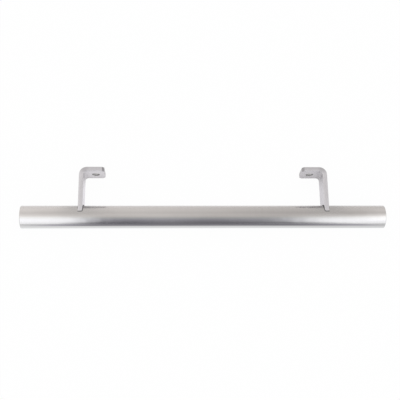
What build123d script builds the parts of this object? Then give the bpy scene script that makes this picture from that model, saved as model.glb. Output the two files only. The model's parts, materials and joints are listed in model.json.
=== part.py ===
from build123d import *

import os

# Oven door handle: a round grip tube carried by two brackets of bent flat bar, welded to it.
# +X runs along the tube, +Y points from the tube to the door, +Z is up on the mounted handle.
# The origin lies on the door's face, midway between the two screw holes. Millimetres.

# Screw holes in the feet
HOLE_SPACING = 240.0
HOLE_DIAMETER = 8.4
HOLE_EDGE_BREAK = 0.3

# Brackets, measured from the centre of their hole
HOLE_TO_LEG_FACE = 17.5
HOLE_TO_FREE_END = 10.0
BAR_WIDTH = 24.0
BAR_THICKNESS = 5.0
BEND_INNER_RADIUS = 3.5
FOOT_CORNER_CUT = 2.5
BAR_EDGE_BREAK = 0.4

# Grip tube
FINGER_CLEARANCE = 42.0
TUBE_DIAMETER = 25.0
TUBE_WALL = 1.5
TUBE_OVERHANG = 62.5
TUBE_RIM_RADIUS = 0.5

# Closing discs, ground flush with the ends of the tube
DISC_THICKNESS = 3.0
DISC_SEAM_BREAK = 0.25

# Weld beads in the corners between leg and tube
WELD_LEG = 1.2

# Places that follow from the sizes above
HOLE_X = HOLE_SPACING / 2
LEG_OUTER_X = HOLE_X + HOLE_TO_LEG_FACE
LEG_INNER_X = LEG_OUTER_X - BAR_THICKNESS
FREE_END_X = HOLE_X - HOLE_TO_FREE_END
TUBE_RADIUS = TUBE_DIAMETER / 2
TUBE_BORE_RADIUS = TUBE_RADIUS - TUBE_WALL
TUBE_AXIS_Y = -(FINGER_CLEARANCE + TUBE_RADIUS)
TUBE_END_X = LEG_OUTER_X + TUBE_OVERHANG
TUBE_AXIS = Axis((0, TUBE_AXIS_Y, 0), (1, 0, 0))


def rod_on_tube_axis(radius, start_x, end_x):
    """Solid rod about the tube's axis, from start_x to end_x."""
    place = Plane(origin=(start_x, TUBE_AXIS_Y, 0), z_dir=(1, 0, 0))
    return extrude(place * Circle(radius), end_x - start_x)


def grip_tube():
    """Tube cut square, its outer rims rounded and its inner rims broken where the discs seat."""
    outside = rod_on_tube_axis(TUBE_RADIUS, -TUBE_END_X, TUBE_END_X)
    outside = fillet(outside.edges().filter_by(GeomType.CIRCLE), TUBE_RIM_RADIUS)
    tube = outside - rod_on_tube_axis(TUBE_BORE_RADIUS, -TUBE_END_X, TUBE_END_X)
    bore = tube.faces().filter_by(GeomType.CYLINDER).sort_by(SortBy.RADIUS)[0]
    return chamfer(bore.edges().filter_by(GeomType.CIRCLE), DISC_SEAM_BREAK)


def right_end_disc():
    """Disc that closes the right end, with a broken rim that leaves a fine seam in the end face."""
    disc = rod_on_tube_axis(TUBE_BORE_RADIUS, TUBE_END_X - DISC_THICKNESS, TUBE_END_X)
    rim = disc.edges().filter_by(GeomType.CIRCLE).sort_by(Axis.X)[-1]
    return chamfer(rim, DISC_SEAM_BREAK)


def right_bracket():
    """Flat bar bent once: the leg stands on the tube and the foot points to the middle."""
    middle = BAR_THICKNESS / 2
    centre_line = FilletPolyline(
        (FREE_END_X, -middle),
        (LEG_OUTER_X - middle, -middle),
        (LEG_OUTER_X - middle, TUBE_AXIS_Y),
        radius=BEND_INNER_RADIUS + middle,
    )
    bar = extrude(trace(centre_line, BAR_THICKNESS), BAR_WIDTH / 2, both=True)

    corners = bar.edges().filter_by(Axis.Y).group_by(Axis.X)[0]
    bar = chamfer(corners, FOOT_CORNER_CUT)
    tube_end = bar.faces().sort_by(Axis.Y)[0]
    across_edges = bar.edges().filter_by(Axis.Y).group_by(SortBy.LENGTH)[0]
    bar = chamfer(bar.edges() - across_edges - tube_end.edges(), BAR_EDGE_BREAK)

    door_face = Plane(origin=(HOLE_X, 0, 0), z_dir=(0, -1, 0))
    drill = extrude(door_face * Circle(HOLE_DIAMETER / 2), 2 * BAR_THICKNESS, both=True)
    drilled = bar - drill
    bar = chamfer(new_edges(bar, drill, combined=drilled), HOLE_EDGE_BREAK)
    return bar - rod_on_tube_axis(TUBE_RADIUS, FREE_END_X, TUBE_END_X)


def right_weld(face_x, outward):
    """Bead along one face of the leg, between its two edges; outward is the side of the face it lies on."""
    tube_top = TUBE_AXIS_Y + TUBE_RADIUS
    section = Polyline(
        (face_x, tube_top),
        (face_x + outward * WELD_LEG, tube_top),
        (face_x, tube_top + WELD_LEG),
        close=True,
    )
    ring = revolve(make_face(section), TUBE_AXIS)

    between_edges = BAR_WIDTH - 2 * BAR_EDGE_BREAK
    room = Box(
        4 * WELD_LEG,
        TUBE_RADIUS + 2 * WELD_LEG,
        between_edges,
        align=(Align.CENTER, Align.MIN, Align.CENTER),
    )
    return ring & Pos(face_x, TUBE_AXIS_Y, 0) * room


def save(shape, node):
    """Write one node; a node on the right also gives its mirror image on the left."""
    export_step(shape, f"parts/{node}.step")
    if node.startswith("right_"):
        left = mirror(shape, about=Plane.YZ)
        export_step(left, f"parts/{node.replace('right_', 'left_')}.step")


os.makedirs("parts", exist_ok=True)
save(grip_tube(), "grip_tube")
save(right_bracket(), "right_bracket")
save(right_end_disc(), "right_end_disc")
save(right_weld(LEG_INNER_X, -1), "right_inner_weld")
save(right_weld(LEG_OUTER_X, 1), "right_outer_weld")
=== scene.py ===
import json
import math

import bmesh
import bpy
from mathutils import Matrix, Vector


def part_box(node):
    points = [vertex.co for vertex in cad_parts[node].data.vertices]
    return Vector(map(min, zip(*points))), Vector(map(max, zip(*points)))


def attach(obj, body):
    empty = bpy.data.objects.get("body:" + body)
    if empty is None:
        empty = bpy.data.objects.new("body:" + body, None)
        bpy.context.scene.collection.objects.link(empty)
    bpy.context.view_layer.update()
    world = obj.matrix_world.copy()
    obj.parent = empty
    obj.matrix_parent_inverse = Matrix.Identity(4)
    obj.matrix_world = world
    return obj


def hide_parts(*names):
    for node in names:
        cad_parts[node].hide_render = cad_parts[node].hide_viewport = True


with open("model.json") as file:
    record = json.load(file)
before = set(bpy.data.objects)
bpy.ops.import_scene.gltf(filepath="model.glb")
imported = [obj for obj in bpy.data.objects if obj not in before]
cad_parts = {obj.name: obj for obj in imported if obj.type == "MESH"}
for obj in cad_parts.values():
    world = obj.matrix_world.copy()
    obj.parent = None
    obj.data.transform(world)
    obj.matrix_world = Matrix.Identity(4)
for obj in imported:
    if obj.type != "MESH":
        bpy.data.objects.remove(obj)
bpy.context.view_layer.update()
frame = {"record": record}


# Grip tube
# A round stainless tube, cut square, its rims rounded outside and broken inside where the discs seat. It
# is polished round its girth, less finely towards the door. Beside the legs, on the door's side, it is
# rougher and painted a darker grey there, as painted shade from the brackets.

MM = 0.001
TUBE_RIM_RADIUS = 0.5 * MM
TUBE_RIM_STEPS = 4
SEAM_BREAK = 0.25 * MM
SUPPORT = 0.25 * MM
RING_PITCH = 20 * MM
TURN_STEPS = 144
MERGE_DISTANCE = 0.001 * MM
SMOOTH_ANGLE = math.radians(38)
BAR_THICKNESS = 5 * MM
NO_TINT = (1.0, 1.0, 1.0)
TUBE_TINT = (1.04, 1.0, 0.975)
TUBE_GREYS = (0.62, 0.67)
NOISE_LOW = 0.3
NOISE_HIGH = 0.7
POLISH_MARK_CYCLES = (2500, 60, 60)
POLISH_MARK_HEIGHT = 0.0003 * MM
POLISH_CLOUD_CYCLES = (22, 90, 90)
POLISH_WAVE_CYCLES = (60, 120, 120)
POLISH_WAVE_HEIGHT = 0.04 * MM
POLISH_STRETCH = 0.1
FRONT_ROUGHNESS = (0.075, 0.10)
DOOR_SIDE_ROUGHNESS = (0.21, 0.29)
DOOR_SIDE_START = 0.25
DOOR_SIDE_FULL = 0.7
LEG_SHADE_TINT = (1.02, 1.0, 0.98)
LEG_SHADE_GREY = 0.50
LEG_PATCH_ROUGHNESS = 0.40
LEG_SHADE_REACH = 32 * MM
LEG_SHADE_PATCHES = (0.6, 1.0)

tube_low, tube_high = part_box("grip_tube")
disc_low, disc_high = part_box("right_end_disc")
bar_low, bar_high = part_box("right_bracket")
tube_end_x = tube_high.x
tube_axis_y = (tube_low.y + tube_high.y) / 2
tube_radius = (tube_high.z - tube_low.z) / 2
bore_radius = (disc_high.z - disc_low.z) / 2


def smooth_mesh(name, bm, material):
    """Close a bmesh into a mesh whose faces point outwards, smooth but for its real edges."""
    bm.normal_update()
    bmesh.ops.recalc_face_normals(bm, faces=bm.faces)
    mesh = bpy.data.meshes.new(name)
    bm.to_mesh(mesh)
    bm.free()
    mesh.shade_smooth()
    mesh.set_sharp_from_angle(angle=SMOOTH_ANGLE)
    mesh.materials.append(material)
    return mesh


def show_piece(mesh, node):
    """Put a mesh in the scene as the piece that stands for a node of the model."""
    piece = bpy.data.objects.new(node + "_look", mesh)
    bpy.context.scene.collection.objects.link(piece)
    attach(piece, "root")
    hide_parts(node)


def turned(section, closed):
    """Turn a section of (x, radius) points about the tube's axis; U runs along it and V round the turn."""
    bm = bmesh.new()
    uv = bm.loops.layers.uv.new("turned")
    rings = []
    for x, radius in section:
        ring = []
        for step in range(TURN_STEPS):
            angle = 2 * math.pi * step / TURN_STEPS
            y = tube_axis_y + radius * math.cos(angle)
            ring.append(bm.verts.new((x, y, radius * math.sin(angle))))
        rings.append(ring)
    for row in range(len(rings) if closed else len(rings) - 1):
        ring = rings[row]
        following = rings[(row + 1) % len(rings)]
        for step in range(TURN_STEPS):
            after = (step + 1) % TURN_STEPS
            face = bm.faces.new((ring[step], ring[after], following[after], following[step]))
            corners = ((row, step), (row, step + 1), (row + 1, step + 1), (row + 1, step))
            for loop, (u, v) in zip(face.loops, corners):
                loop[uv].uv = (u / len(rings), v / TURN_STEPS)
    bmesh.ops.remove_doubles(bm, verts=bm.verts, dist=MERGE_DISTANCE)
    return bm


def tube_section():
    """Closed section of the tube: outer wall, rounded rim, end face, broken inner rim, bore."""
    right = []
    for step in range(TUBE_RIM_STEPS + 1):
        angle = math.pi / 2 * (1 - step / TUBE_RIM_STEPS)
        x = tube_end_x - TUBE_RIM_RADIUS * (1 - math.cos(angle))
        right.append((x, tube_radius - TUBE_RIM_RADIUS * (1 - math.sin(angle))))
    wall_end = tube_end_x - TUBE_RIM_RADIUS - SUPPORT
    right.insert(0, (wall_end, tube_radius))
    right.append((tube_end_x, tube_radius - TUBE_RIM_RADIUS - SUPPORT))
    right.append((tube_end_x, bore_radius + SEAM_BREAK))
    right.append((tube_end_x - SEAM_BREAK, bore_radius))
    left = [(-x, radius) for x, radius in reversed(right)]
    rings = int(2 * wall_end / RING_PITCH)
    wall = []
    for ring in range(1, rings):
        wall.append((-wall_end + 2 * wall_end * ring / rings, tube_radius))
    return left + wall + right


def add_node(tree, kind, links, **settings):
    """Add a node; links maps an input's name or number to the socket or the value that it takes."""
    node = tree.nodes.new(kind)
    for name, value in settings.items():
        setattr(node, name, value)
    for key, source in links.items():
        if isinstance(source, bpy.types.NodeSocket):
            tree.links.new(source, node.inputs[key])
        else:
            node.inputs[key].default_value = source
    return node


def new_steel(name):
    """Metal material; returns the material, its node tree and its shader."""
    material = bpy.data.materials.new(name)
    material.use_nodes = True
    tree = material.node_tree
    tree.nodes.clear()
    shader = add_node(tree, "ShaderNodeBsdfPrincipled", {"Metallic": 1.0})
    add_node(tree, "ShaderNodeOutputMaterial", {"Surface": shader.outputs["BSDF"]})
    return material, tree, shader


def coordinates(tree, kind):
    """The piece's own coordinates: its UV map, or Object for its place in metres."""
    return tree.nodes.new("ShaderNodeTexCoord").outputs[kind]


def axes(tree, vector):
    """The X, Y and Z of a vector, as sockets."""
    return add_node(tree, "ShaderNodeSeparateXYZ", {"Vector": vector}).outputs


def stretched_noise(tree, vector, cycles, detail=3.0):
    """Noise with its own number of cycles along each axis of the coordinates."""
    stretched = add_node(tree, "ShaderNodeMapping", {"Vector": vector, "Scale": cycles})
    texture = {"Vector": stretched.outputs["Vector"], "Scale": 1.0, "Detail": detail}
    return add_node(tree, "ShaderNodeTexNoise", texture).outputs["Fac"]


def reckoned(tree, way, first, second=0.0):
    """Result of one step of arithmetic on one value or two."""
    return add_node(tree, "ShaderNodeMath", {0: first, 1: second}, operation=way).outputs[0]


def spread(tree, noise, ends):
    """Map a noise, most of which lies from NOISE_LOW to NOISE_HIGH, to the range between two ends."""
    low, high = ends
    span = {"Value": noise, "From Min": NOISE_LOW, "From Max": NOISE_HIGH, "To Min": low, "To Max": high}
    return add_node(tree, "ShaderNodeMapRange", span).outputs["Result"]


def within(tree, value, far, near):
    """Share that rises smoothly from 0 at one value to 1 at another."""
    span = {"Value": value, "From Min": far, "From Max": near}
    return add_node(tree, "ShaderNodeMapRange", span, interpolation_type="SMOOTHSTEP").outputs["Result"]


def blended(tree, factor, first, second):
    """Value between two others by a factor from 0 to 1."""
    return add_node(tree, "ShaderNodeMix", {"Factor": factor, "A": first, "B": second}).outputs["Result"]


def tinted(tree, factor, first, second, way="MIX"):
    """Colour from two others, the second by a factor; way is how the two are put together."""
    parts = {"Factor": factor, "A": first, "B": second}
    return add_node(tree, "ShaderNodeMix", parts, data_type="RGBA", blend_type=way).outputs["Result"]


def grey(value, tint=NO_TINT):
    """Opaque colour of one brightness with a slight tint."""
    return (*(value * part for part in tint), 1.0)


def mottled(tree, noise, greys, tint=NO_TINT):
    """Colour that goes from a darker grey to a lighter one as a noise does."""
    darker, lighter = greys
    tone = spread(tree, noise, (0.0, 1.0))
    return tinted(tree, tone, grey(darker, tint), grey(lighter, tint))


def raise_marks(tree, shader, marks, height):
    """Let the marks stand up by a height, as bump, on top of any that the shader has."""
    bump = add_node(tree, "ShaderNodeBump", {"Strength": 1.0, "Distance": height, "Height": marks})
    for earlier in shader.inputs["Normal"].links:
        tree.links.new(earlier.from_socket, bump.inputs["Normal"])
    tree.links.new(bump.outputs["Normal"], shader.inputs["Normal"])


def mirror_along(tree, shader, uv_map, amount):
    """Stretch reflections along U of a UV map, as marks that run along V do."""
    tangent = add_node(tree, "ShaderNodeTangent", {}, direction_type="UV_MAP", uv_map=uv_map)
    tree.links.new(tangent.outputs["Tangent"], shader.inputs["Tangent"])
    shader.inputs["Anisotropic"].default_value = amount


def painted_leg_shade(tree, place, clouds):
    """Share of the painted shade beside the legs and on the door's side, where the tube is also rougher.
    """
    leg_x = bar_high.x - BAR_THICKNESS / 2
    from_leg = reckoned(tree, "SUBTRACT", reckoned(tree, "ABSOLUTE", place["X"]), leg_x)
    along = within(tree, reckoned(tree, "ABSOLUTE", from_leg), LEG_SHADE_REACH, BAR_THICKNESS / 2)
    behind = within(tree, place["Y"], tube_axis_y - tube_radius / 2, tube_axis_y + tube_radius / 2)
    patch = reckoned(tree, "MULTIPLY", along, behind)
    return reckoned(tree, "MULTIPLY", patch, spread(tree, clouds, LEG_SHADE_PATCHES))


tube_steel, tube_tree, tube_shader = new_steel("tube_steel")
tube_place = coordinates(tube_tree, "Object")
tube_axes = axes(tube_tree, tube_place)
polish_marks = stretched_noise(tube_tree, tube_place, POLISH_MARK_CYCLES)
polish_clouds = stretched_noise(tube_tree, tube_place, POLISH_CLOUD_CYCLES)
polish_waves = stretched_noise(tube_tree, tube_place, POLISH_WAVE_CYCLES, detail=1.0)
polish = blended(tube_tree, polish_clouds, polish_marks, polish_clouds)
leg_shade = painted_leg_shade(tube_tree, tube_axes, polish_clouds)
unshaded_tube_colour = mottled(tube_tree, polish, TUBE_GREYS, TUBE_TINT)
# Painted shade: the tube turns a darker grey beside the legs on the door's side.
tube_colour = tinted(tube_tree, leg_shade, unshaded_tube_colour, grey(LEG_SHADE_GREY, LEG_SHADE_TINT))
tube_tree.links.new(tube_colour, tube_shader.inputs["Base Color"])
door_start = tube_axis_y + DOOR_SIDE_START * tube_radius
door_full = tube_axis_y + DOOR_SIDE_FULL * tube_radius
door_side = within(tube_tree, tube_axes["Y"], door_start, door_full)
front_roughness = spread(tube_tree, polish, FRONT_ROUGHNESS)
door_side_roughness = spread(tube_tree, polish, DOOR_SIDE_ROUGHNESS)
unpatched_roughness = blended(tube_tree, door_side, front_roughness, door_side_roughness)
tube_roughness = blended(tube_tree, leg_shade, unpatched_roughness, LEG_PATCH_ROUGHNESS)
tube_tree.links.new(tube_roughness, tube_shader.inputs["Roughness"])
raise_marks(tube_tree, tube_shader, polish_waves, POLISH_WAVE_HEIGHT)
raise_marks(tube_tree, tube_shader, polish_marks, POLISH_MARK_HEIGHT)
mirror_along(tube_tree, tube_shader, "turned", POLISH_STRETCH)

tube_mesh = smooth_mesh("grip_tube", turned(tube_section(), closed=True), tube_steel)
show_piece(tube_mesh, "grip_tube")


# End discs
# A steel disc closes each end of the tube. It is welded in and ground flush, which leaves a fine seam
# round it and rings of grinding marks on its face.

DISC_FACE_RINGS = 5
DISC_GREYS = (0.55, 0.62)
DISC_ROUGHNESS = (0.24, 0.34)
GRINDING_RING_CYCLES = (2600, 0, 0)
GRINDING_RING_HEIGHT = 0.002 * MM
GRINDING_CLOUD_CYCLES = (90, 140, 140)
GRINDING_STRETCH = 0.5

disc_thickness = disc_high.x - disc_low.x


def disc_section(side):
    """Section of one disc from the middle of its outer face, round its rim, to the middle of its back."""
    outer_x = side * tube_end_x
    back_x = side * (tube_end_x - disc_thickness)
    rim_x = side * (tube_end_x - SEAM_BREAK)
    face_radius = bore_radius - SEAM_BREAK
    section = []
    for ring in range(DISC_FACE_RINGS + 1):
        section.append((outer_x, face_radius * ring / DISC_FACE_RINGS))
    return section + [(rim_x, bore_radius), (back_x, bore_radius), (back_x, 0.0)]


def distance_from_axis(tree, place):
    """Distance of a point from the tube's axis, for marks that run in rings about it."""
    centred = {"Vector": place, "Location": (0.0, -tube_axis_y, 0.0), "Scale": (0.0, 1.0, 1.0)}
    across = add_node(tree, "ShaderNodeMapping", centred)
    reach = add_node(tree, "ShaderNodeVectorMath", {0: across.outputs["Vector"]}, operation="LENGTH")
    return reach.outputs["Value"]


disc_steel, disc_tree, disc_shader = new_steel("disc_steel")
disc_place = coordinates(disc_tree, "Object")
disc_reach = distance_from_axis(disc_tree, disc_place)
grinding_rings = stretched_noise(disc_tree, disc_reach, GRINDING_RING_CYCLES)
grinding_clouds = stretched_noise(disc_tree, disc_place, GRINDING_CLOUD_CYCLES, detail=2.0)
grinding = blended(disc_tree, grinding_clouds, grinding_rings, grinding_clouds)
disc_colour = mottled(disc_tree, grinding, DISC_GREYS, TUBE_TINT)
disc_tree.links.new(disc_colour, disc_shader.inputs["Base Color"])
disc_tree.links.new(spread(disc_tree, grinding, DISC_ROUGHNESS), disc_shader.inputs["Roughness"])
raise_marks(disc_tree, disc_shader, grinding_rings, GRINDING_RING_HEIGHT)
mirror_along(disc_tree, disc_shader, "turned", GRINDING_STRETCH)

for side, node in ((-1, "left_end_disc"), (1, "right_end_disc")):
    disc_mesh = smooth_mesh(node, turned(disc_section(side), closed=False), disc_steel)
    show_piece(disc_mesh, node)


# Brackets
# Each is cut from flat bar, with two cut corners at the foot, a drilled hole and a round notch for the
# tube. It is deburred, brushed and bent once. The cut corners are given a darker grey. The foot, on the
# door, the bend and the hole's wall carry painted shade that makes them darker than the leg.

BEND_INNER_RADIUS = 3.5 * MM
FOOT_CORNER_CUT = 2.5 * MM
BAR_EDGE_RADIUS = 0.4 * MM
HOLE_RADIUS = 4.2 * MM
HOLE_BREAK = 0.3 * MM
EDGE_STEPS = 3
NOTCH_STEPS = 32
HOLE_STEPS = 48
BEND_STEPS = 18
BLANK_UNIT = 100 * MM
BAR_TINT = (1.0, 0.975, 1.0)
BAR_GREYS = (0.68, 0.76)
BRUSH_MARK_CYCLES = (4, 260, 1)
BRUSH_MARK_HEIGHT = 0.002 * MM
BRUSH_CLOUD_CYCLES = (6, 12, 1)
BRUSHED_ROUGHNESS = (0.36, 0.46)
FOOT_SHADE_SHARE = 0.93
BEND_SHADE_SHARE = 0.84
BEND_FADE = 1 / 3
HOLE_SHADE_GREY = 0.58
HOLE_ROUGHNESS = 0.12
CUT_CORNER_GREY = 0.43
SHEARED_SLANT = 0.3

screws = next(m for m in frame["record"]["mounts"] if m["name"] == "door_screws")
hole_x = screws["dims"]["spacing_x_mm"] * MM / 2
leg_outer_x = bar_high.x
leg_inner_x = leg_outer_x - BAR_THICKNESS
free_end_x = bar_low.x
half_width = (bar_high.z - bar_low.z) / 2
half_thick = BAR_THICKNESS / 2
bend_radius = BEND_INNER_RADIUS + half_thick
bend_x = leg_inner_x - BEND_INNER_RADIUS
bend_y = bar_high.y - BAR_THICKNESS - BEND_INNER_RADIUS
foot_run = bend_x - free_end_x
bend_run = math.pi / 2 * bend_radius
notch_centre = foot_run + bend_run + (bend_y - tube_axis_y)


def arc(centre, radius, start, end, steps):
    """Points on an arc from one angle to another, both ends included."""
    points = []
    for step in range(steps + 1):
        angle = start + (end - start) * step / steps
        points.append((centre[0] + radius * math.cos(angle), centre[1] + radius * math.sin(angle)))
    return points


def blank_outline(inset, notch_inset=0.0):
    """Outline of the flat blank, drawn in by the insets: distances along it from the foot, and across."""
    cut = FOOT_CORNER_CUT + inset * (math.sqrt(2) - 1)
    side = half_width - inset
    end = half_width - cut
    outline = [(cut, -side), (inset, -end), (inset, end), (cut, side)]
    notch_radius = tube_radius + notch_inset
    reach = math.asin(side / notch_radius)
    notch = arc((notch_centre, 0.0), notch_radius, math.pi - reach, math.pi + reach, NOTCH_STEPS)
    return outline + notch


def hole_outline(grow):
    """Round outline of the screw hole, widened by grow."""
    centre = (hole_x - free_end_x, 0.0)
    return arc(centre, HOLE_RADIUS + grow, 0.0, 2 * math.pi * (1 - 1 / HOLE_STEPS), HOLE_STEPS - 1)


def wall_of_rings(bm, rings):
    """Quads between closed rings of equal length, each a (height, outline); returns the end loops."""
    loops = []
    for height, outline in rings:
        loops.append([bm.verts.new((along, height, across)) for along, across in outline])
    for lower, upper in zip(loops, loops[1:]):
        for step, vert in enumerate(lower):
            after = (step + 1) % len(lower)
            bm.faces.new((vert, lower[after], upper[after], upper[step]))
    return loops[0], loops[-1]


def loop_edges(bm, loop):
    """Edges of a closed loop of vertices."""
    return [bm.edges.get((vert, loop[(step + 1) % len(loop)])) for step, vert in enumerate(loop)]


def flat_blank():
    """The blank before bending: x along it from the foot's end, y through its thickness, z across it."""
    bm = bmesh.new()
    hole = [
        (-half_thick, hole_outline(HOLE_BREAK + SUPPORT)),
        (-half_thick, hole_outline(HOLE_BREAK)),
        (HOLE_BREAK - half_thick, hole_outline(0.0)),
    ]
    hole += [(-height, outline) for height, outline in reversed(hole)]
    hole_ends = wall_of_rings(bm, hole)
    drilled = bm.faces.layers.float.new("drilled")
    for face in bm.faces:
        face.normal_update()
        face[drilled] = 1.0 - abs(face.normal.y)
    rim = [(-half_thick, blank_outline(BAR_EDGE_RADIUS + SUPPORT, SUPPORT))]
    for step in range(EDGE_STEPS + 1):
        angle = math.pi / 2 * step / EDGE_STEPS
        height = half_thick - BAR_EDGE_RADIUS * (1 - math.cos(angle))
        rim.append((-height, blank_outline(BAR_EDGE_RADIUS * (1 - math.sin(angle)))))
    rim += [(-height, outline) for height, outline in reversed(rim)]
    rim_ends = wall_of_rings(bm, rim)
    for rim_loop, hole_loop in zip(rim_ends, hole_ends):
        edges = loop_edges(bm, rim_loop) + loop_edges(bm, hole_loop)
        bmesh.ops.triangle_fill(bm, use_beauty=True, edges=edges)
    cuts = [foot_run - SUPPORT, foot_run + bend_run + SUPPORT]
    cuts += [foot_run + bend_run * step / BEND_STEPS for step in range(BEND_STEPS + 1)]
    for cut in cuts:
        geometry = bm.verts[:] + bm.edges[:] + bm.faces[:]
        bmesh.ops.bisect_plane(bm, geom=geometry, plane_co=(cut, 0, 0), plane_no=(1, 0, 0))
    return bm


def keep_grain(bm):
    """Lay out UVs on the flat blank, U along the bar, so that the brushed grain follows the bend."""
    uv = bm.loops.layers.uv.new("blank")
    for face in bm.faces:
        face.normal_update()
        broad = abs(face.normal.y) > abs(face.normal.z)
        for loop in face.loops:
            along, height, across = loop.vert.co
            loop[uv].uv = (along / BLANK_UNIT, (across if broad else height) / BLANK_UNIT)


def mark_sheared(bm):
    """Mark the two cut corners of the foot, which are given a darker grey."""
    sheared = bm.faces.layers.float.new("sheared")
    for face in bm.faces:
        face.normal_update()
        slanted = min(abs(face.normal.x), abs(face.normal.z)) > SHEARED_SLANT
        face[sheared] = float(slanted and face.calc_center_median().x < FOOT_CORNER_CUT)


def bent(bm, side):
    """Bend the blank into the bracket of one side; side is -1 on the left and 1 on the right."""
    for vert in bm.verts:
        along, height, across = vert.co
        turn = min(max((along - foot_run) / bend_radius, 0.0), math.pi / 2)
        past = max(along - foot_run - bend_run, 0.0)
        before = min(along - foot_run, 0.0)
        reach = bend_radius + height
        x = bend_x + before + reach * math.sin(turn)
        vert.co = (side * x, bend_y + reach * math.cos(turn) - past, across)
    return bm


def face_mark(tree, name):
    """Share that the piece's own faces carry under a name."""
    return add_node(tree, "ShaderNodeAttribute", {}, attribute_name=name).outputs["Fac"]


bracket_steel, bracket_tree, bracket_shader = new_steel("bracket_steel")
blank_place = coordinates(bracket_tree, "UV")
along_blank = axes(bracket_tree, blank_place)["X"]
brush_marks = stretched_noise(bracket_tree, blank_place, BRUSH_MARK_CYCLES)
brush_clouds = stretched_noise(bracket_tree, blank_place, BRUSH_CLOUD_CYCLES, detail=2.0)
brushing = blended(bracket_tree, brush_clouds, brush_marks, brush_clouds)
bend_shade_start = (foot_run - BEND_FADE * bend_run) / BLANK_UNIT
bend_shade_middle = (foot_run + BEND_FADE * bend_run) / BLANK_UNIT
bend_shade_end = (foot_run + bend_run) / BLANK_UNIT
entering = within(bracket_tree, along_blank, bend_shade_start, bend_shade_middle)
foot_shade = within(bracket_tree, along_blank, bend_shade_end, bend_shade_middle)
bend_shade = reckoned(bracket_tree, "MULTIPLY", entering, foot_shade)
hole_wall = face_mark(bracket_tree, "drilled")
sheared_corner = face_mark(bracket_tree, "sheared")
bracket_colour = mottled(bracket_tree, brushing, BAR_GREYS, BAR_TINT)
# Painted shade: the foot is multiplied a little darker, and the bend more.
bracket_colour = tinted(bracket_tree, foot_shade, bracket_colour, grey(FOOT_SHADE_SHARE), way="MULTIPLY")
bracket_colour = tinted(bracket_tree, bend_shade, bracket_colour, grey(BEND_SHADE_SHARE), way="MULTIPLY")
# Painted shade: the hole's wall takes a darker grey for the shade inside the hole.
bracket_colour = tinted(bracket_tree, hole_wall, bracket_colour, grey(HOLE_SHADE_GREY))
# The two cut corners at the foot take a darker grey.
bracket_colour = tinted(bracket_tree, sheared_corner, bracket_colour, grey(CUT_CORNER_GREY, BAR_TINT))
bracket_tree.links.new(bracket_colour, bracket_shader.inputs["Base Color"])
brushed_roughness = spread(bracket_tree, brushing, BRUSHED_ROUGHNESS)
bracket_roughness = blended(bracket_tree, hole_wall, brushed_roughness, HOLE_ROUGHNESS)
bracket_tree.links.new(bracket_roughness, bracket_shader.inputs["Roughness"])
raise_marks(bracket_tree, bracket_shader, brush_marks, BRUSH_MARK_HEIGHT)

for side, node in ((-1, "left_bracket"), (1, "right_bracket")):
    blank = flat_blank()
    keep_grain(blank)
    mark_sheared(blank)
    bracket_mesh = smooth_mesh(node, bent(blank, side), bracket_steel)
    show_piece(bracket_mesh, node)


# Weld beads
# Thin beads of weld metal fill the corners between legs and tube, dull and darker than the bar. That dark
# grey is partly the weld's own colour and partly painted shade of the corners they fill. The inner bead of
# each leg returns across the leg's two edges; the outer bead stops just short of them.

BEAD_RADIUS = 1.1 * MM
RETURN_SHARE = 0.42
RETURN_TURN = math.radians(1.8)
OUTER_SHARE = 0.6
BEAD_STOP = 1.4 * MM
BEAD_STATIONS = 12
BEAD_SIDES = 12
PATH_ORDER = 3
RIPPLE_PITCH = 1.3 * MM
RIPPLE_DEPTH = 0.16
RIPPLE_STEPS = 8
WELD_AND_SHADE_GREYS = (0.08, 0.18)
WELD_ROUGHNESS = (0.36, 0.52)
SPECK_CYCLES = (1800, 1800, 1800)
SPECK_HEIGHT = 0.02 * MM

weld_steel, weld_tree, weld_shader = new_steel("weld_steel")
weld_place = coordinates(weld_tree, "Object")
scale_specks = stretched_noise(weld_tree, weld_place, SPECK_CYCLES, detail=4.0)
# The near-black grey is partly the weld's own colour and partly painted shade of the corners.
weld_tree.links.new(mottled(weld_tree, scale_specks, WELD_AND_SHADE_GREYS), weld_shader.inputs["Base Color"])
weld_tree.links.new(spread(weld_tree, scale_specks, WELD_ROUGHNESS), weld_shader.inputs["Roughness"])
raise_marks(weld_tree, weld_shader, scale_specks, SPECK_HEIGHT)


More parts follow.
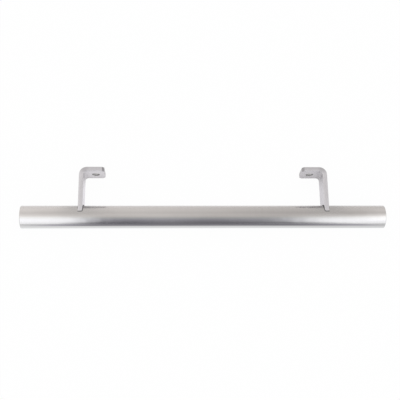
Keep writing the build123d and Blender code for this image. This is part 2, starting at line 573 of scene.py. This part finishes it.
def bead_nodes():
    """Geometry Nodes that lay a rippled bead along a curve, thinner where the curve's own radius is."""
    tree = bpy.data.node_groups.new("weld_bead", "GeometryNodeTree")
    sockets = tree.interface
    sockets.new_socket("Path", in_out="INPUT", socket_type="NodeSocketGeometry")
    for name in ("Bead Radius", "Ripple Pitch", "Ripple Depth", "Step Length"):
        sockets.new_socket(name, in_out="INPUT", socket_type="NodeSocketFloat")
    sockets.new_socket("Sides", in_out="INPUT", socket_type="NodeSocketInt")
    sockets.new_socket("Material", in_out="INPUT", socket_type="NodeSocketMaterial")
    sockets.new_socket("Bead", in_out="OUTPUT", socket_type="NodeSocketGeometry")
    given = tree.nodes.new("NodeGroupInput").outputs

    steps = {"Curve": given["Path"], "Length": given["Step Length"]}
    path = add_node(tree, "GeometryNodeResampleCurve", steps, mode="LENGTH")
    along = tree.nodes.new("GeometryNodeSplineParameter").outputs["Length"]
    ripples = reckoned(tree, "DIVIDE", along, given["Ripple Pitch"])
    half_turns = reckoned(tree, "MULTIPLY", ripples, math.pi)
    crest = reckoned(tree, "ABSOLUTE", reckoned(tree, "SINE", half_turns))
    valley = reckoned(tree, "SUBTRACT", 1.0, crest)
    loss = reckoned(tree, "MULTIPLY", valley, given["Ripple Depth"])
    share = reckoned(tree, "SUBTRACT", 1.0, loss)
    own = tree.nodes.new("GeometryNodeInputRadius").outputs["Radius"]
    thickness = reckoned(tree, "MULTIPLY", own, given["Bead Radius"])
    size = reckoned(tree, "MULTIPLY", thickness, share)

    circle = {"Resolution": given["Sides"], "Radius": 1.0}
    section = add_node(tree, "GeometryNodeCurvePrimitiveCircle", circle)
    sweep = {"Curve": path.outputs["Curve"], "Profile Curve": section.outputs["Curve"]}
    sweep |= {"Scale": size, "Fill Caps": True}
    bead = add_node(tree, "GeometryNodeCurveToMesh", sweep)
    smooth = add_node(tree, "GeometryNodeSetShadeSmooth", {"Geometry": bead.outputs["Mesh"]})
    real = add_node(tree, "GeometryNodeRealizeInstances", {"Geometry": smooth.outputs["Geometry"]})
    finish = {"Geometry": real.outputs["Geometry"], "Material": given["Material"]}
    metal = add_node(tree, "GeometryNodeSetMaterial", finish)
    add_node(tree, "NodeGroupOutput", {"Bead": metal.outputs["Geometry"]})
    return tree


def on_tube(x, angle):
    """Point on the tube's surface, at an angle from the side that faces the door."""
    return (x, tube_axis_y + tube_radius * math.cos(angle), tube_radius * math.sin(angle))


def inner_bead(side):
    """Points and thickness of a bead along the inner face, with a return across each edge of the leg."""
    tip = math.asin(half_width / tube_radius) + RETURN_TURN
    far_x = side * leg_outer_x
    near_x = side * leg_inner_x
    points = []
    for station in range(BEAD_STATIONS + 1):
        fullness = math.sin(math.pi * station / BEAD_STATIONS)
        share = RETURN_SHARE + (1 - RETURN_SHARE) * fullness
        points.append((on_tube(near_x, tip * (2 * station / BEAD_STATIONS - 1)), share))
    for x in ((near_x + far_x) / 2, far_x):
        points.insert(0, (on_tube(x, -tip), RETURN_SHARE))
        points.append((on_tube(x, tip), RETURN_SHARE))
    return points


def outer_bead(side):
    """Points and thickness of a bead along the outer face, tapered where it stops."""
    stop = math.asin((half_width - BEAD_STOP) / tube_radius)
    points = []
    for station in range(BEAD_STATIONS + 1):
        share = RETURN_SHARE if station in (0, BEAD_STATIONS) else OUTER_SHARE
        points.append((on_tube(side * leg_outer_x, stop * (2 * station / BEAD_STATIONS - 1)), share))
    return points


def laid_bead(node, points, tree):
    """Lay the bead along a smooth curve through its points and return it as a plain mesh."""
    curve = bpy.data.curves.new(node, "CURVE")
    curve.dimensions = "3D"
    spline = curve.splines.new("NURBS")
    spline.points.add(len(points) - 1)
    for control, (place, share) in zip(spline.points, points):
        control.co = (*place, 1.0)
        control.radius = share
    spline.order_u = PATH_ORDER
    spline.use_endpoint_u = True
    path = bpy.data.objects.new(node + "_path", curve)
    bpy.context.scene.collection.objects.link(path)
    modifier = path.modifiers.new("weld_bead", "NODES")
    modifier.node_group = tree
    sizes = {
        "Bead Radius": BEAD_RADIUS,
        "Ripple Pitch": RIPPLE_PITCH,
        "Ripple Depth": RIPPLE_DEPTH,
        "Step Length": RIPPLE_PITCH / RIPPLE_STEPS,
        "Sides": BEAD_SIDES,
        "Material": weld_steel,
    }
    for socket in tree.interface.items_tree:
        if socket.name in sizes:
            modifier[socket.identifier] = sizes[socket.name]
    evaluated = path.evaluated_get(bpy.context.evaluated_depsgraph_get())
    mesh = bpy.data.meshes.new_from_object(evaluated)
    mesh.name = node
    bpy.data.objects.remove(path)
    return mesh


bead_tree = bead_nodes()
for side, name in ((-1, "left"), (1, "right")):
    for face, points in (("inner", inner_bead(side)), ("outer", outer_bead(side))):
        node = f"{name}_{face}_weld"
        show_piece(laid_bead(node, points, bead_tree), node)


# Studio
# A white floor lies just below the tube, in a pale room. The camera sees the floor plain white; what the
# metal
# mirrors of it is painted light and shade: brighter by the tube and between it and the door, darker beyond
# it, and painted shade behind the feet. Towards the viewer the room is dim and cool, and two bright soft
# panels stand there, left and right of a dark gap. Slight tints balance the tube's own.

WARM = (1.02, 1.00, 0.99)
CLEAR = (0.96, 1.0, 1.025)
PLAIN = (1.0, 0.995, 1.015)
COOL = (0.96, 0.965, 1.115)
FLOOR_HALF_SIZE = 3.0
FLOOR_GAP = 0.1 * MM
FLOOR_SHADOW_SHARE = 0.035
FLOOR_MIRRORED_WHITE = ((-0.060, 0.96), (-0.010, 0.92), (-0.002, 0.30), (0.020, 0.35), (0.080, 0.96))
# Painted light and shade on the floor as the metal mirrors it: brighter by the tube, darker beyond, shade
# behind the feet.
FLOOR_EDGE = ((-0.112, 0.0), (-0.098, 0.55), (-0.082, 1.0))
FLOOR_BY_TUBE = 1.06
FLOOR_BETWEEN = (
    (-0.165, 1.0, PLAIN),
    (-0.130, 1.16, PLAIN),
    (-0.095, 1.0, PLAIN),
    (0.130, 0.98, PLAIN),
)
FLOOR_BACK_EDGE = ((-0.017, 0.0), (-0.001, 1.0))
FLOOR_BACK = (
    (-0.200, 0.95, WARM),
    (-0.080, 0.86, WARM),
    (0.0, 0.82, WARM),
    (0.113, 0.70, WARM),
    (0.160, 0.80, WARM),
    (0.250, 0.88, WARM),
)
FLOOR_BEYOND = (
    (-0.215, 0.93, CLEAR),
    (-0.175, 0.58, COOL),
    (-0.130, 0.26, COOL),
    (0.110, 0.27, COOL),
    (0.190, 0.58, COOL),
    (0.225, 0.92, CLEAR),
)
FLOOR_SIDES = ((-0.45, 0.3), (-0.28, 1.0), (0.05, 1.0), (0.15, 0.90), (0.28, 0.94), (0.45, 0.3))
ROOM_DEPTH = (
    (-1.0, 0.15, COOL),
    (-0.9, 0.20, COOL),
    (-0.68, 0.32, COOL),
    (-0.45, 0.46, CLEAR),
    (-0.2, 0.63, WARM),
    (0.1, 0.71, WARM),
    (0.48, 0.67, WARM),
    (1.0, 0.78, WARM),
)
ROOM_WIDTH = (
    (-1.0, 1.20),
    (-0.7, 1.35),
    (-0.19, 1.31),
    (-0.12, 1.03),
    (-0.08, 0.99),
    (-0.045, 1.13),
    (0.04, 1.00),
    (0.15, 0.85),
    (0.23, 0.90),
    (0.27, 1.12),
    (0.7, 1.00),
    (1.0, 1.00),
)
PANEL_DEPTH = (
    (-1.0, 1.08, CLEAR),
    (-0.89, 1.22, CLEAR),
    (-0.68, 1.12, CLEAR),
    (-0.38, 0.73, CLEAR),
    (-0.2, 0.38, CLEAR),
    (0.0, 0.14, CLEAR),
    (0.25, 0.0),
)
PANEL_TILT = ((0.240, 0.0), (0.270, 0.18))
PANEL_PIVOT = -0.015
PANEL_WIDTH = (
    (-0.50, 0.35),
    (-0.175, 1.00),
    (-0.104, 1.00),
    (-0.069, 0.02),
    (-0.035, 0.0),
    (0.015, 0.10),
    (0.045, 0.06),
    (0.075, 0.03),
    (0.125, 0.09),
    (0.155, 0.12),
    (0.213, 0.98),
    (0.255, 1.00),
    (0.280, 1.08),
    (0.315, 1.10),
    (0.65, 0.35),
)
PANEL_LEAN = ((0.0, 0.79), (0.26, 0.915), (0.45, 1.0), (0.80, 1.0), (1.0, 0.97))


def drawn_curve(tree, value, points):
    """Brightness along one direction, from (position, brightness) points and a tint where one is given."""
    low = points[0][0]
    high = points[-1][0]
    span = add_node(tree, "ShaderNodeMapRange", {"Value": value, "From Min": low, "From Max": high})
    ramp = add_node(tree, "ShaderNodeValToRGB", {"Fac": span.outputs["Result"]})
    stops = ramp.color_ramp.elements
    while len(stops) < len(points):
        stops.new(0.5)
    for stop, (position, brightness, *tint) in zip(stops, points):
        stop.position = (position - low) / (high - low)
        stop.color = grey(brightness, *tint)
    return ramp.outputs["Color"]


floor_mesh = bpy.data.meshes.new("floor")
floor_z = tube_low.z - FLOOR_GAP
floor_corners = []
for x, y in ((-1, -1), (1, -1), (1, 1), (-1, 1)):
    floor_corners.append((x * FLOOR_HALF_SIZE, y * FLOOR_HALF_SIZE, floor_z))
floor_mesh.from_pydata(floor_corners, [], [(0, 1, 2, 3)])
floor = bpy.data.objects.new("floor", floor_mesh)
bpy.context.scene.collection.objects.link(floor)

floor_white = bpy.data.materials.new("floor_white")
floor_white.use_nodes = True
floor_tree = floor_white.node_tree
floor_tree.nodes.clear()
floor_path = floor_tree.nodes.new("ShaderNodeLightPath").outputs
floor_place = axes(floor_tree, coordinates(floor_tree, "Object"))
# Painted floor for the metal's reflections: a pool of light by the tube, darker floor beyond, painted
# shade behind the feet.
beyond = drawn_curve(floor_tree, floor_place["X"], FLOOR_BEYOND)
near_tube = drawn_curve(floor_tree, floor_place["Y"], FLOOR_EDGE)
sheet = tinted(floor_tree, near_tube, beyond, grey(FLOOR_BY_TUBE, CLEAR))
between = drawn_curve(floor_tree, floor_place["X"], FLOOR_BETWEEN)
past_axis = within(floor_tree, floor_place["Y"], tube_axis_y, tube_axis_y + tube_radius)
sheet = tinted(floor_tree, past_axis, sheet, between)
back = drawn_curve(floor_tree, floor_place["X"], FLOOR_BACK)
past_feet = drawn_curve(floor_tree, floor_place["Y"], FLOOR_BACK_EDGE)
sheet = tinted(floor_tree, past_feet, sheet, back)
sides = drawn_curve(floor_tree, floor_place["X"], FLOOR_SIDES)
mirrored_floor = tinted(floor_tree, 1.0, sheet, sides, way="MULTIPLY")
floor_colour = tinted(floor_tree, floor_path["Is Camera Ray"], mirrored_floor, grey(1.0))
floor_glow = add_node(floor_tree, "ShaderNodeEmission", {"Color": floor_colour})
floor_cloth = add_node(floor_tree, "ShaderNodeBsdfDiffuse", {"Color": grey(1.0)})
seen = reckoned(floor_tree, "MAXIMUM", floor_path["Is Camera Ray"], floor_path["Is Glossy Ray"])
seen = reckoned(floor_tree, "MAXIMUM", seen, floor_path["Is Transmission Ray"])
mirrored_white = drawn_curve(floor_tree, floor_place["Y"], FLOOR_MIRRORED_WHITE)
white = blended(floor_tree, floor_path["Is Camera Ray"], mirrored_white, 1 - FLOOR_SHADOW_SHARE)
glow_share = reckoned(floor_tree, "MULTIPLY", seen, white)
floor_parts = {0: glow_share, 1: floor_cloth.outputs["BSDF"], 2: floor_glow.outputs["Emission"]}
floor_mix = add_node(floor_tree, "ShaderNodeMixShader", floor_parts)
add_node(floor_tree, "ShaderNodeOutputMaterial", {"Surface": floor_mix.outputs["Shader"]})
floor_mesh.materials.append(floor_white)

world = bpy.data.worlds.new("studio")
bpy.context.scene.world = world
world.use_nodes = True
room_tree = world.node_tree
room_tree.nodes.clear()
toward = axes(room_tree, coordinates(room_tree, "Generated"))
room_depth = drawn_curve(room_tree, toward["Y"], ROOM_DEPTH)
room_width = drawn_curve(room_tree, toward["X"], ROOM_WIDTH)
walls = tinted(room_tree, 1.0, room_depth, room_width, way="MULTIPLY")
tilt = drawn_curve(room_tree, toward["X"], PANEL_TILT)
panel_depth = drawn_curve(room_tree, reckoned(room_tree, "SUBTRACT", toward["Y"], tilt), PANEL_DEPTH)
lean = drawn_curve(room_tree, toward["Z"], PANEL_LEAN)
aside = reckoned(room_tree, "SUBTRACT", toward["X"], PANEL_PIVOT)
panel_width = drawn_curve(room_tree, reckoned(room_tree, "MULTIPLY", aside, lean), PANEL_WIDTH)
panels = tinted(room_tree, 1.0, panel_depth, panel_width, way="MULTIPLY")
lit_room = tinted(room_tree, 1.0, walls, panels, way="ADD")
room_light = add_node(room_tree, "ShaderNodeBackground", {"Color": lit_room}).outputs["Background"]
white_wall = add_node(room_tree, "ShaderNodeBackground", {"Color": grey(1.0)}).outputs["Background"]
room_path = room_tree.nodes.new("ShaderNodeLightPath").outputs
room_parts = {0: room_path["Is Camera Ray"], 1: room_light, 2: white_wall}
room_mix = add_node(room_tree, "ShaderNodeMixShader", room_parts)
add_node(room_tree, "ShaderNodeOutputWorld", {"Surface": room_mix.outputs["Shader"]})
bpy.context.scene.view_settings.view_transform = "Standard"


# Camera
# It stands in front of the handle and looks steeply down on it, a little from the left. Its place, turn
# and lens are fitted to the handle's outline.

CAMERA_PLACE = (-40.52 * MM, -308.08 * MM, 832.83 * MM)
CAMERA_PITCH = math.radians(18.167)
CAMERA_YAW = math.radians(-2.381)
CAMERA_LENS = 71.08
CAMERA_SENSOR = 36.0

camera_data = bpy.data.cameras.new("camera")
camera_data.lens = CAMERA_LENS
camera_data.sensor_width = CAMERA_SENSOR
camera = bpy.data.objects.new("camera", camera_data)
camera.location = CAMERA_PLACE
camera.rotation_mode = "ZYX"
camera.rotation_euler = (CAMERA_PITCH, CAMERA_YAW, 0.0)
bpy.context.scene.collection.objects.link(camera)
bpy.context.scene.camera = camera
